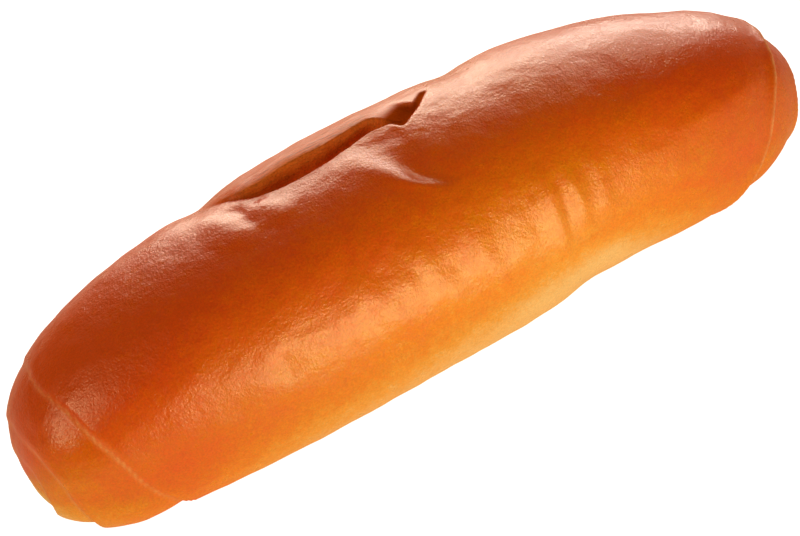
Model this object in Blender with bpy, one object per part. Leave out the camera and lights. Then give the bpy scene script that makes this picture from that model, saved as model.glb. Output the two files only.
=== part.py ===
"""A soft hot dog bun: one long roll of dough, baked with a glazed crust.

Metres, +Z up. The bun lies along X on a flat base, with its near side at -Y.
Its surface is a function of two values, the arc length from a tip along the
bun and the angle around it: 0 faces -Y, 90 is the top, 180 is the back and -90
is the base. The body is a long superellipse. On it come the stepped edges of
the rolled dough at both ends, the cleft that opened in the top, and the folds
and hollows of the crust.
"""
from typing import NamedTuple

import bmesh
import bpy
import numpy as np

MM = 0.001

# The body
LENGTH = 160.0 * MM
WIDTH = 48.5 * MM
HEIGHT = 40.7 * MM
GIRTH_RADIUS = 0.25 * (WIDTH + HEIGHT)
BEND = 2.4 * MM               # the middle lies this far back from the tips
BASE_SINK = 1.8 * MM          # how far the round underside is cut off flat
BASE_ROUNDING = 1.2 * MM      # radius that blends the sides into the flat base
FOOT_LEFT = -43.0 * MM        # the flat rectangle that the bun rests on
FOOT_RIGHT = 48.0 * MM
FOOT_HALF_WIDTH = 12.4 * MM
FOOT_CLEARANCE = 0.2 * MM     # how far the crust outside that rectangle stays off the tray
FOOT_SEARCH = 1.0 * MM        # a corner of the rectangle is found among points lower than this
WAIST_SHARE = 0.45            # height of the widest line, as a share of the section
UPPER_SECTION = 2.15
LOWER_SECTION = 2.8
TRACK_CROWDING = 1.5          # how closely the track's table is spaced at the tips

# The mesh
SEGMENTS = 60
RINGS = 99
TABLE_STEPS = 2000
TRACK_ANGLE = 20.0            # the angle whose line along the bun spaces the rings
POLE_CALM = 5.0 * MM          # relief fades out this close to a tip
END_REACH = 36.0 * MM         # the rings are closer together this near to a tip
END_BLEND = 10.0 * MM
END_CROWDING = 0.9
# and by the folds: places along X, how far each reaches, and how much closer they are
FOLD_CROWDING = ((20.0 * MM, 11.0 * MM, 0.6), (-29.0 * MM, 6.0 * MM, 0.5), (4.0 * MM, 8.0 * MM, 0.8))
SEGMENT_CROWD_ANGLE = 97.0    # the segments are closer together about this angle
SEGMENT_CROWD_SPREAD = 15.0
SEGMENT_CROWDING = 2.6

# The rolled dough's edges
STEP_RECOVERY = 5.0 * MM
EDGE_WOBBLE = 0.45 * MM
WOBBLE_FULL_EDGE = 20.0 * MM  # an edge nearer to the tip than this wobbles less
FULL_EDGE = 12.0 * MM         # an edge nearer to the tip than this is fainter
EDGE_BEGIN_ANGLE = -92.0      # where the first turn comes out from under the bun
EDGE_BEGIN_SPREAD = 34.0
EDGE_TOP_MIDDLE = 125.0       # the steps are lower about this angle
EDGE_TOP_LOW = 45.0           # within this many degrees of it
EDGE_TOP_FULL = 87.0          # and have their full height again from here
TURNS = 3

CRUST_COLOUR = (0.60, 0.115, 0.006, 1.0)
CRUST_ROUGHNESS = 0.42


class End(NamedTuple):
    """One end of the bun: its fullness, its tip, and its spiral of dough edges."""
    plan: tuple               # how full and how round the end is, seen from above
    top: tuple                # the same for the top line, seen from the side
    base: tuple               # and for the underside
    tip_height: float
    edge_start: float         # arc length from the tip to the dough's edge
    edge_ratio: float         # what one turn of the edge leaves of that length
    edge_sway: float          # how much farther, as a power, the edge runs on one side
    edge_sway_angle: float    # the angle of that side
    step_height: float
    step_width: float
    rim_height: float
    rim_width: float
    top_share: float          # what is left of the step where it runs over the top


class Fold(NamedTuple):
    """A raised fold, or with a negative height a crease, from one point to another.

    A point is a place along X in metres and an angle in degrees. The two widths
    are the spread towards -X and towards +X.
    """
    start: tuple
    finish: tuple
    left_width: float
    right_width: float
    height: float
    taper: float = 0.35       # the share of its length over which an end tapers out


class Swell(NamedTuple):
    """A broad swelling or hollow about a place along X and an angle."""
    place: float
    angle: float
    reach: float
    spread: float
    height: float


LEFT = End(
    (2.7, 3.35), (2.95, 2.65), (3.8, 3.0), 13.8 * MM, 29.1 * MM, 0.51, 0.252, -112.0,
    0.95 * MM, 1.5 * MM, 0.3 * MM, 2.6 * MM, 0.40)
RIGHT = End(
    (3.1, 2.5), (2.5, 2.15), (6.1, 2.15), 14.9 * MM, 21.8 * MM, 0.42, 0.463, -85.0,
    0.8 * MM, 1.9 * MM, 0.45 * MM, 1.3 * MM, 0.90)

# The cleft in the top: a gap between a low front lip and a raised back lip.
# The angle in degrees of each lip's edge, at places along X:
FRONT_EDGE = (
    (-31.5 * MM, 122.0), (-27.7 * MM, 107.6), (-25.0 * MM, 101.5), (-21.1 * MM, 96.8),
    (-16.5 * MM, 94.9), (-10.0 * MM, 95.2), (-5.7 * MM, 97.2), (1.2 * MM, 99.9), (5.4 * MM, 97.8))
BACK_EDGE = (
    (-31.5 * MM, 122.5), (-27.7 * MM, 108.2), (-25.4 * MM, 104.6), (-22.5 * MM, 103.2),
    (-16.0 * MM, 103.8), (-9.0 * MM, 102.6), (-3.1 * MM, 104.6), (1.2 * MM, 105.4),
    (3.0 * MM, 102.9), (4.3 * MM, 100.0), (5.4 * MM, 97.6))
CLEFT_DEPTH = 3.6 * MM
CLEFT_WALL = 0.6 * MM
CLEFT_FULL_GAP = 1.6 * MM     # the gap's width from which it has its full depth
FRONT_LIP_DIP = 0.4 * MM      # how far the front lip rolls down into the cleft
FRONT_LIP_WIDTH = 3.2 * MM
# the height of the back lip, at places along X
LIP_LINE = (
    (-34.0 * MM, 0.0), (-30.0 * MM, 0.15 * MM), (-27.9 * MM, 0.40 * MM), (-25.0 * MM, 0.80 * MM),
    (-21.0 * MM, 1.0 * MM), (-8.0 * MM, 1.0 * MM), (-2.0 * MM, 0.92 * MM), (1.5 * MM, 0.70 * MM),
    (4.2 * MM, 0.32 * MM), (6.5 * MM, 0.08 * MM), (10.0 * MM, 0.0))
LIP_WIDTH = 3.4 * MM
LIP_SHELF = 1.2 * MM          # the back lip's top is level this far back
LIP_ROUND = 0.9 * MM
LIP_LEAN = 0.8                # how far it leans forward, as a share of its height
LEAN_WIDTH = 2.0 * MM

# The valley that runs down the near side from the cleft. The fold on its left is a hook.
# Each of these at angles in degrees:
VALLEY_LINE = (
    (54.0, 5.2 * MM), (58.0, 3.6 * MM), (61.0, 2.5 * MM), (66.0, 1.5 * MM), (72.0, 0.8 * MM),
    (79.0, 0.2 * MM), (87.0, 0.0), (97.0, 0.3 * MM))
VALLEY_DEPTH = (
    (52.0, 0.0), (57.0, 0.4 * MM), (62.0, 0.95 * MM), (70.0, 1.15 * MM), (82.0, 1.15 * MM),
    (90.0, 0.8 * MM), (95.0, 0.25 * MM), (99.0, 0.0))
VALLEY_LEFT = ((58.0, 1.4 * MM), (65.0, 2.3 * MM), (73.0, 3.1 * MM), (90.0, 4.6 * MM))
VALLEY_RIGHT = ((58.0, 2.6 * MM), (70.0, 3.6 * MM), (90.0, 5.0 * MM))
CREST_HEIGHT = 0.35 * MM      # the fold's crest, as a rise above the skin
CREST_PLACE = 1.5             # how far to the left it lies, in the valley's left widths

FOLDS = (
    # the mounds at the cleft's left end, with a hollow between them
    Fold((-33.2 * MM, 108.0), (-31.2 * MM, 76.0), 3.0 * MM, 2.8 * MM, 0.42 * MM),
    Fold((-28.4 * MM, 99.0), (-27.4 * MM, 81.0), 1.6 * MM, 1.6 * MM, -0.28 * MM),
    Fold((-24.6 * MM, 93.0), (-21.8 * MM, 76.0), 2.2 * MM, 2.8 * MM, 0.34 * MM),
    # the dimple that carries the cleft on to the right
    Fold((5.2 * MM, 93.4), (9.9 * MM, 100.9), 2.5 * MM, 0.9 * MM, -1.8 * MM, 0.25),
    # wrinkles down the near side
    Fold((18.5 * MM, 37.0), (17.1 * MM, -6.0), 0.9 * MM, 2.4 * MM, 0.55 * MM),
    Fold((15.6 * MM, 34.0), (14.6 * MM, -4.0), 1.8 * MM, 1.0 * MM, -0.5 * MM),
    Fold((23.4 * MM, 32.0), (22.4 * MM, -7.0), 1.0 * MM, 1.6 * MM, 0.4 * MM),
    Fold((29.8 * MM, 34.0), (28.7 * MM, 8.0), 1.2 * MM, 1.8 * MM, 0.3 * MM),
    Fold((4.4 * MM, 31.0), (6.2 * MM, -4.0), 1.6 * MM, 2.2 * MM, 0.35 * MM),
    Fold((-7.4 * MM, 39.0), (-1.8 * MM, 1.0), 2.0 * MM, 2.4 * MM, 0.3 * MM),
    Fold((-19.2 * MM, 38.0), (-11.9 * MM, 7.0), 2.2 * MM, 2.6 * MM, 0.3 * MM),
    Fold((-36.2 * MM, 26.0), (-34.8 * MM, 12.0), 2.0 * MM, 2.0 * MM, -0.35 * MM),
    # a low straight fold near the right end
    Fold((46.0 * MM, 28.0), (68.0 * MM, 37.0), 2.2 * MM, 2.2 * MM, 0.25 * MM),
)

SWELLS = (
    Swell(-31.5 * MM, 128.0, 4.5 * MM, 26.0, -1.1 * MM),
    Swell(-8.0 * MM, 126.0, 15.0 * MM, 22.0, 0.75 * MM),
    Swell(21.0 * MM, 125.0, 4.0 * MM, 30.0, -0.6 * MM),
    Swell(34.0 * MM, 130.0, 9.0 * MM, 30.0, 0.5 * MM),
    Swell(63.0 * MM, 130.0, 6.0 * MM, 30.0, -0.65 * MM),
    Swell(32.9 * MM, -35.0, 13.0 * MM, 35.0, -1.6 * MM),
    Swell(24.3 * MM, -48.0, 5.0 * MM, 22.0, -0.55 * MM),
    Swell(-68.8 * MM, -46.0, 7.0 * MM, 26.0, 1.1 * MM),
    Swell(-78.2 * MM, -15.0, 4.5 * MM, 50.0, 0.4 * MM),
    Swell(64.6 * MM, -45.0, 7.0 * MM, 28.0, 0.6 * MM),
)


def clear_scene() -> None:
    """Remove what the scene starts with."""
    for item in list(bpy.data.objects):
        bpy.data.objects.remove(item, do_unlink=True)


def fullness(share, left, right):
    """A superellipse's half width, as a share, at a share of its half length.

    Each end has its own pair of a power for how full and a root for how round.
    """
    power = np.where(share < 0.0, left[0], right[0])
    root = np.where(share < 0.0, left[1], right[1])
    return np.maximum(1.0 - np.abs(share) ** power, 0.0) ** (1.0 / root)


def smooth(value):
    """Rise smoothly from 0 to 1 as value goes from 0 to 1."""
    value = np.clip(value, 0.0, 1.0)
    return value * value * (3.0 - 2.0 * value)


def curve_through(points, at):
    """Read a smooth curve through a few points. Beyond its ends it stays level."""
    place, value = np.array(points).T
    slope = np.gradient(value, place)
    at = np.clip(at, place[0], place[-1])
    index = np.clip(np.searchsorted(place, at, side="right") - 1, 0, len(place) - 2)
    width = place[index + 1] - place[index]
    share = (at - place[index]) / width
    first = (1.0 + 2.0 * share) * (1.0 - share) ** 2
    last = share ** 2 * (3.0 - 2.0 * share)
    bend = share * (1.0 - share) ** 2 * slope[index] - share ** 2 * (1.0 - share) * slope[index + 1]
    return first * value[index] + last * value[index + 1] + bend * width


def body_section(share):
    """Half width, top, widest line and underside of the body at a share of X."""
    mix = 0.5 * (share + 1.0)
    tip = LEFT.tip_height + (RIGHT.tip_height - LEFT.tip_height) * mix
    half_width = 0.5 * WIDTH * fullness(share, LEFT.plan, RIGHT.plan)
    top = tip + (HEIGHT - tip) * fullness(share, LEFT.top, RIGHT.top)
    under = tip - (tip + BASE_SINK) * fullness(share, LEFT.base, RIGHT.base)
    middle = under + WAIST_SHARE * (top - under)
    return half_width, top, middle, under


def body_point(share, angle):
    """The body's smooth surface at a share of X and an angle in radians."""
    half_width, top, middle, under = body_section(share)
    across, upward = np.cos(angle), np.sin(angle)
    over = upward >= 0.0
    power = np.where(over, UPPER_SECTION, LOWER_SECTION)
    reach = (np.abs(across) ** power + np.abs(upward) ** power) ** (-1.0 / power)
    rise = np.where(over, top - middle, middle - under)
    x = 0.5 * LENGTH * share
    y = BEND * (1.0 - share ** 2) - half_width * reach * across
    z = middle + rise * reach * upward
    return np.stack([x, y, z], axis=-1)


def body_normal(share, angle):
    """Unit normals of the smooth body, from small steps along it and around it."""
    step = 1e-4
    inner = np.clip(share, -1.0 + 2.0 * step, 1.0 - 2.0 * step)
    along = body_point(inner + step, angle) - body_point(inner - step, angle)
    around = body_point(inner, angle + step) - body_point(inner, angle - step)
    normal = np.cross(along, around)
    return normal / np.linalg.norm(normal, axis=-1, keepdims=True)


def track_table():
    """Shares of X and the arc length to each, along one line from tip to tip."""
    share = np.sin(np.linspace(-0.5 * np.pi, 0.5 * np.pi, TABLE_STEPS + 1))
    share = np.sign(share) * (1.0 - (1.0 - np.abs(share)) ** TRACK_CROWDING)
    points = body_point(share, np.full_like(share, np.radians(TRACK_ANGLE)))
    pieces = np.linalg.norm(np.diff(points, axis=0), axis=1)
    return share, np.concatenate([[0.0], np.cumsum(pieces)])


def spread_by(weight, positions, shares):
    """Positions at which the running total of weight reaches each share of it."""
    total = np.concatenate([[0.0], np.cumsum(0.5 * (weight[1:] + weight[:-1]) * np.diff(positions))])
    return np.interp(shares * total[-1], total, positions)


def ring_arcs(arc_length, share):
    """Arc lengths of the rings: close together at the ends and across the folds."""
    arcs = np.linspace(0.0, arc_length[-1], TABLE_STEPS + 1)
    x = 0.5 * LENGTH * np.interp(arcs, arc_length, share)
    from_end = np.minimum(arcs, arc_length[-1] - arcs)
    weight = 1.0 + END_CROWDING * smooth((END_REACH - from_end) / END_BLEND)
    for place, reach, crowding in FOLD_CROWDING:
        weight += crowding * np.exp(-((x - place) / reach) ** 2)
    return spread_by(weight, arcs, np.linspace(0.0, 1.0, RINGS + 1))


def segment_angles():
    """Angles of the segments in radians, closest together at the cleft."""
    angles = np.linspace(-90.0, 270.0, TABLE_STEPS + 1)
    away = (angles - SEGMENT_CROWD_ANGLE) / SEGMENT_CROWD_SPREAD
    weight = 1.0 + SEGMENT_CROWDING * np.exp(-away ** 2)
    return np.radians(spread_by(weight, angles, np.arange(SEGMENTS) / SEGMENTS))


def dough_edges(end, arc, angle):
    """Height of the rolled dough's stepped edge about one tip.

    The edge is a spiral whose middle lies off the tip. Outside each turn the
    dough has a low rounded rim, and inside it the next layer lies a step lower
    and swells up again.
    """
    degrees = np.degrees(angle)
    sway = np.exp(end.edge_sway * np.cos(angle - np.radians(end.edge_sway_angle)))
    from_top = (EDGE_TOP_FULL - np.abs(degrees - EDGE_TOP_MIDDLE)) / (EDGE_TOP_FULL - EDGE_TOP_LOW)
    strength = 1.0 - smooth(from_top) * (1.0 - end.top_share)
    waves = EDGE_WOBBLE * (np.sin(3.0 * angle) + 0.5 * np.sin(7.0 * angle))
    height = np.zeros_like(arc)
    for turn in range(TURNS):
        edge = end.edge_start * end.edge_ratio ** (degrees / 360.0 + turn) * sway
        edge = edge + waves * smooth(edge / WOBBLE_FULL_EDGE)
        inside = edge - arc
        drop = smooth(inside / end.step_width + 0.5) * np.exp(-np.maximum(inside, 0.0) / STEP_RECOVERY)
        rim = np.exp(-(np.minimum(inside, 0.0) / end.rim_width) ** 2) * smooth(0.5 - inside / end.step_width)
        begin = smooth((degrees - EDGE_BEGIN_ANGLE) / EDGE_BEGIN_SPREAD) if turn == 0 else 1.0
        size = begin * strength * smooth(edge / FULL_EDGE)
        height += size * (end.rim_height * rim - end.step_height * drop)
    return height * smooth(arc / POLE_CALM)


def fold_height(fold, x, angle):
    """Height that one fold adds: a soft ridge whose two ends taper out."""
    start = np.array([fold.start[0], GIRTH_RADIUS * np.radians(fold.start[1])])
    line = np.array([fold.finish[0], GIRTH_RADIUS * np.radians(fold.finish[1])]) - start
    length = np.linalg.norm(line)
    line = line / length
    across = x - start[0]
    around = GIRTH_RADIUS * angle - start[1]
    along = (across * line[0] + around * line[1]) / length
    aside = line[1] * across - line[0] * around
    aside = aside * np.sign(line[1])
    width = np.where(aside < 0.0, fold.left_width, fold.right_width)
    ends = smooth(along / fold.taper + 0.4) * smooth((1.0 - along) / fold.taper + 0.4)
    return fold.height * ends * np.exp(-(aside / width) ** 2)


def swell_height(swell, x, degrees):
    """Height that one broad swelling or hollow adds."""
    away = ((x - swell.place) / swell.reach) ** 2 + ((degrees - swell.angle) / swell.spread) ** 2
    return swell.height * np.exp(-away)


def valley_height(x, degrees):
    """Height of the valley below the cleft and of the hooked fold on its left."""
    depth = curve_through(VALLEY_DEPTH, degrees)
    aside = x - curve_through(VALLEY_LINE, degrees)
    left, right = curve_through(VALLEY_LEFT, degrees), curve_through(VALLEY_RIGHT, degrees)
    aside = aside / np.where(aside < 0.0, left, right)
    crest = CREST_HEIGHT * np.exp(-(aside + CREST_PLACE) ** 2)
    share = depth / max(value for _, value in VALLEY_DEPTH)
    return share * crest - depth * np.exp(-aside ** 2)


def cleft_relief(x, degrees):
    """Height and forward lean that the cleft and its two lips add."""
    unit = GIRTH_RADIUS * np.radians(1.0)
    front, back = curve_through(FRONT_EDGE, x), curve_through(BACK_EDGE, x)
    gap = np.maximum((back - front) * unit, 0.0) * ((x > FRONT_EDGE[0][0]) & (x < FRONT_EDGE[-1][0]))
    openness = smooth(gap / CLEFT_FULL_GAP)
    past_front, past_back = (degrees - front) * unit, (degrees - back) * unit
    inside = smooth(past_front / CLEFT_WALL + 0.5) * smooth(0.5 - past_back / CLEFT_WALL)
    lip = np.exp(-(np.maximum(past_back - LIP_SHELF, 0.0) / LIP_WIDTH) ** 2)
    lip = curve_through(LIP_LINE, x) * lip * smooth(past_back / LIP_ROUND + 0.5)
    near = np.exp(-(np.minimum(past_front, 0.0) / FRONT_LIP_WIDTH) ** 2) * (past_back < 0.0)
    height = lip - openness * (CLEFT_DEPTH * inside + FRONT_LIP_DIP * near)
    return height, LIP_LEAN * lip * np.exp(-(np.maximum(past_back, 0.0) / LEAN_WIDTH) ** 2)


def settle(z):
    """Blend the underside into a base that is exactly flat."""
    rounding = BASE_ROUNDING
    blend = (z + rounding) ** 2 / (4.0 * rounding)
    return np.where(z <= -rounding, 0.0, np.where(z < rounding, blend, z))


def lay_flat(points):
    """Give the base four corners: flat between them, and clear of the tray outside.

    The crust nearest to each corner is drawn to it.
    """
    x, y, z = points.T
    beyond_end = np.maximum(x - FOOT_RIGHT, FOOT_LEFT - x)
    beyond_side = np.abs(y) - FOOT_HALF_WIDTH
    outside = (beyond_end > 0.0) | (beyond_side > 0.0)
    near = z < FOOT_CLEARANCE
    points[near & outside, 2] = FOOT_CLEARANCE
    points[near & ~outside, 2] = 0.0
    for corner_x in (FOOT_LEFT, FOOT_RIGHT):
        for corner_y in (-FOOT_HALF_WIDTH, FOOT_HALF_WIDTH):
            away = np.hypot(x - corner_x, y - corner_y) + np.where(z < FOOT_SEARCH, 0.0, LENGTH)
            points[np.argmin(away)] = [corner_x, corner_y, 0.0]
    return points


def surface(arc, angle, share_table, arc_table):
    """Points of the finished bun at arc lengths and angles in radians."""
    share = np.interp(arc, arc_table, share_table)
    x = 0.5 * LENGTH * share
    degrees = np.degrees(angle)
    calm = smooth(np.minimum(arc, arc_table[-1] - arc) / POLE_CALM)
    height = dough_edges(LEFT, arc, angle) + dough_edges(RIGHT, arc_table[-1] - arc, angle)
    for fold in FOLDS:
        height += fold_height(fold, x, angle) * calm
    for swell in SWELLS:
        height += swell_height(swell, x, degrees) * calm
    height += valley_height(x, degrees)
    cleft, lean = cleft_relief(x, degrees)
    points = body_point(share, angle) + (height + cleft)[..., None] * body_normal(share, angle)
    points[..., 1] -= lean
    points[..., 2] = settle(points[..., 2])
    return points


def build_mesh():
    """A sphere of rings and segments about X, with each vertex set on the surface."""
    share_table, arc_table = track_table()
    rings = ring_arcs(arc_table, share_table)
    segments = segment_angles()
    shape = bmesh.new()
    bmesh.ops.create_uvsphere(shape, u_segments=SEGMENTS, v_segments=RINGS, radius=1.0)
    places = np.array([vertex.co[:] for vertex in shape.verts])
    ring = np.rint(np.arccos(np.clip(places[:, 2], -1.0, 1.0)) / np.pi * RINGS).astype(int)
    turn = np.arctan2(places[:, 1], places[:, 0]) / (2.0 * np.pi) * SEGMENTS
    segment = np.rint(turn).astype(int) % SEGMENTS
    points = surface(rings[ring], segments[segment], share_table, arc_table)
    low, high = points.min(axis=0), points.max(axis=0)
    points = lay_flat(points - [0.5 * (low[0] + high[0]), 0.5 * (low[1] + high[1]), 0.0])
    for vertex, point in zip(shape.verts, points):
        vertex.co = point
    bmesh.ops.triangulate(shape, faces=shape.faces)
    if shape.calc_volume(signed=True) < 0.0:
        bmesh.ops.reverse_faces(shape, faces=shape.faces)
    mesh = bpy.data.meshes.new("bun")
    shape.to_mesh(mesh)
    shape.free()
    mesh.shade_smooth()
    return mesh


def crust_material():
    """The browned crust."""
    material = bpy.data.materials.new("crust")
    material.use_nodes = True
    shader = material.node_tree.nodes["Principled BSDF"]
    shader.inputs["Base Color"].default_value = CRUST_COLOUR
    shader.inputs["Roughness"].default_value = CRUST_ROUGHNESS
    shader.inputs["Metallic"].default_value = 0.0
    return material


def main() -> None:
    """Build the bun."""
    clear_scene()
    bun = bpy.data.objects.new("bun", build_mesh())
    bun.data.materials.append(crust_material())
    bpy.context.scene.collection.objects.link(bun)


main()
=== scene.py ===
"""A soft hot dog bun on a pale table: its crust in fine relief, with the colours of the bake.

Metres, +Z up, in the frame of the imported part: the bun lies along X on its flat base, with its
near side at -Y. The crust is a function of two values, the arc length from the left tip along
the bun and the angle around it: 0 faces -Y, 90 is the top, 180 is the back and -90 is the base.
"""
import logging
import math
from dataclasses import dataclass, field
from enum import Enum
from typing import Any, Union

import bmesh
import bpy
import numpy as np
from mathutils import Matrix, Vector, noise


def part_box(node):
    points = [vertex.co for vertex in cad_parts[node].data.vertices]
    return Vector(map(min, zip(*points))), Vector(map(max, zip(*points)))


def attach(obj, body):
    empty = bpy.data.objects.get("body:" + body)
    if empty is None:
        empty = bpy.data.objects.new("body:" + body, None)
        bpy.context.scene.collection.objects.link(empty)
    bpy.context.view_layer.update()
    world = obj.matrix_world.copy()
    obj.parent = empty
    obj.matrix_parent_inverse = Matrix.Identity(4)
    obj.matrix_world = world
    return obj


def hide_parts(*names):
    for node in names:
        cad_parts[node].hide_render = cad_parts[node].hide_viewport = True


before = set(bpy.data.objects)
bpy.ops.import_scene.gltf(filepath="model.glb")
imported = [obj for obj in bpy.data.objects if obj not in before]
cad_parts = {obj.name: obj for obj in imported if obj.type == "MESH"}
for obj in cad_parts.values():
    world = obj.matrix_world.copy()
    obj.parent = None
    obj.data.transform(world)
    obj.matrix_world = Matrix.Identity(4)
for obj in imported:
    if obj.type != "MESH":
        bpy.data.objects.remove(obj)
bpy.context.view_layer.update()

Array = np.ndarray
Pair = tuple[float, float]
Triple = tuple[float, float, float]
Colour = tuple[float, float, float, float]

MM = 0.001
LOG = logging.getLogger("bun")


class Mask(Enum):
    """The point attributes that carry the pattern of the bake to the crust's material."""

    BAKE = "bake"          # how brown the crust is, from the pale flank to the dark top
    STRETCH = "stretch_and_sheen"    # pale skin that came out late, where the dough rose past its own edge; also painted highlight on the right end's rim and the back lip
    FOLD_SHADE = "fold"          # painted shade in the dimple and the short crease at the cleft's right end
    WALL = "wall"          # the torn back wall of the cleft
    LIP = "lip"            # fine lines along the cleft's back lip and back wall


# --------------------------------------------------------------------------------------------
# Shapes of curves
# --------------------------------------------------------------------------------------------

def smooth(value: Array) -> Array:
    """Rise smoothly from 0 to 1 as value goes from 0 to 1."""
    value = np.clip(value, 0.0, 1.0)
    return value * value * (3.0 - 2.0 * value)


def curve_through(points: tuple[Pair, ...], at: Array) -> Array:
    """Read a smooth curve through a few points.

    Args:
        points: The places and the values there, in order of place.
        at: The places to read.

    Returns:
        The values there. Beyond the ends the curve stays level.
    """
    place, value = np.array(points).T
    slope = np.gradient(value, place)
    at = np.clip(at, place[0], place[-1])
    index = np.clip(np.searchsorted(place, at, side="right") - 1, 0, len(place) - 2)
    width = place[index + 1] - place[index]
    share = (at - place[index]) / width
    first = (1.0 + 2.0 * share) * (1.0 - share) ** 2
    last = share ** 2 * (3.0 - 2.0 * share)
    bend = share * (1.0 - share) ** 2 * slope[index] - share ** 2 * (1.0 - share) * slope[index + 1]
    return first * value[index] + last * value[index + 1] + bend * width


def wander(places: Array, size: float, seed: float, octaves: int = 3) -> Array:
    """Read an even random wandering between about -1 and 1.

    Args:
        places: Points in metres, one row each.
        size: The size of its swellings, in metres.
        seed: Which wandering it is.
        octaves: How many finer layers it has.

    Returns:
        One value for each point.
    """
    offset = Vector((seed, 2.0 * seed, 3.0 * seed))
    scaled = places / size
    return np.array([noise.fractal(Vector(point) + offset, 1.0, 2.0, octaves) for point in scaled.tolist()])


# --------------------------------------------------------------------------------------------
# The form of the bun
# --------------------------------------------------------------------------------------------

@dataclass(frozen=True)
class DoughEnd:
    """One end of the bun: its fullness, its tip, and its spiral of dough edges."""

    plan: Pair               # how full and how round the end is, seen from above
    top: Pair                # the same for the top line, seen from the side
    base: Pair               # and for the underside
    tip_height: float
    edge_start: float        # arc length from the tip to the dough's edge
    edge_ratio: float        # what one turn of the edge leaves of that length
    edge_sway: float         # how much farther, as a power, the edge runs on one side
    edge_sway_angle: float   # the angle of that side


LEFT = DoughEnd((2.7, 3.35), (2.95, 2.65), (3.8, 3.0), 13.8 * MM, 29.1 * MM, 0.51, 0.252, -112.0)
RIGHT = DoughEnd((3.1, 2.5), (2.5, 2.15), (6.1, 2.15), 14.9 * MM, 21.8 * MM, 0.42, 0.463, -85.0)


@dataclass(frozen=True)
class Loaf:
    """The bun's smooth body: a long superellipse, a little bent, on a flat base."""

    length: float = 160.0 * MM
    width: float = 48.5 * MM
    height: float = 40.7 * MM
    bend: float = 2.4 * MM             # the middle lies this far back from the tips
    base_sink: float = 1.8 * MM        # how far the round underside is cut off flat
    base_rounding: float = 1.2 * MM
    waist_share: float = 0.45          # height of the widest line, as a share of the section
    upper_section: float = 2.15
    lower_section: float = 2.8
    track_angle: float = 20.0          # the angle whose line along the bun gives the arc length
    track_crowding: float = 1.5        # how closely the table of that line is spaced at the tips
    table_steps: int = 2000

    def girth_radius(self) -> float:
        """Return the mean radius of the section."""
        return 0.25 * (self.width + self.height)

    @staticmethod
    def fullness(share: Array, left: Pair, right: Pair) -> Array:
        """Read a superellipse's half width, as a share, at a share of its half length.

        Args:
            share: From -1 at the left tip to 1 at the right tip.
            left: A power for how full the left end is, and a root for how round.
            right: The same for the right end.

        Returns:
            The half width as a share of the largest.
        """
        power = np.where(share < 0.0, left[0], right[0])
        root = np.where(share < 0.0, left[1], right[1])
        return np.maximum(1.0 - np.abs(share) ** power, 0.0) ** (1.0 / root)

    def point(self, share: Array, angle: Array) -> Array:
        """Find points of the smooth body.

        Args:
            share: Shares of the half length.
            angle: Angles in radians.

        Returns:
            The points, one row each.
        """
        mix = 0.5 * (share + 1.0)
        tip = LEFT.tip_height + (RIGHT.tip_height - LEFT.tip_height) * mix
        half_width = 0.5 * self.width * self.fullness(share, LEFT.plan, RIGHT.plan)
        top = tip + (self.height - tip) * self.fullness(share, LEFT.top, RIGHT.top)
        under = tip - (tip + self.base_sink) * self.fullness(share, LEFT.base, RIGHT.base)
        middle = under + self.waist_share * (top - under)
        across, upward = np.cos(angle), np.sin(angle)
        over = upward >= 0.0
        power = np.where(over, self.upper_section, self.lower_section)
        reach = (np.abs(across) ** power + np.abs(upward) ** power) ** (-1.0 / power)
        rise = np.where(over, top - middle, middle - under)
        x = 0.5 * self.length * share
        y = self.bend * (1.0 - share ** 2) - half_width * reach * across
        z = middle + rise * reach * upward
        return np.stack([x, y, z], axis=-1)

    def normal(self, share: Array, angle: Array) -> Array:
        """Find unit normals of the smooth body, from small steps along it and around it.

        Args:
            share: Shares of the half length.
            angle: Angles in radians.

        Returns:
            The normals, one row each, facing out.
        """
        step = 1e-4
        inner = np.clip(share, -1.0 + 2.0 * step, 1.0 - 2.0 * step)
        along = self.point(inner + step, angle) - self.point(inner - step, angle)
        around = self.point(inner, angle + step) - self.point(inner, angle - step)
        normal = np.cross(along, around)
        return normal / np.linalg.norm(normal, axis=-1, keepdims=True)

    def track(self) -> tuple[Array, Array]:
        """Return shares of the half length and the arc length to each, from tip to tip."""
        share = np.sin(np.linspace(-0.5 * np.pi, 0.5 * np.pi, self.table_steps + 1))
        share = np.sign(share) * (1.0 - (1.0 - np.abs(share)) ** self.track_crowding)
        points = self.point(share, np.full_like(share, math.radians(self.track_angle)))
        pieces = np.linalg.norm(np.diff(points, axis=0), axis=1)
        return share, np.concatenate([[0.0], np.cumsum(pieces)])

    def settle(self, height: Array) -> Array:
        """Blend the underside into a base that is exactly flat.

        Args:
            height: Heights of the round underside.

        Returns:
            The heights, none below the table.
        """
        rounding = self.base_rounding
        blend = (height + rounding) ** 2 / (4.0 * rounding)
        return np.where(height <= -rounding, 0.0, np.where(height < rounding, blend, height))


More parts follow.
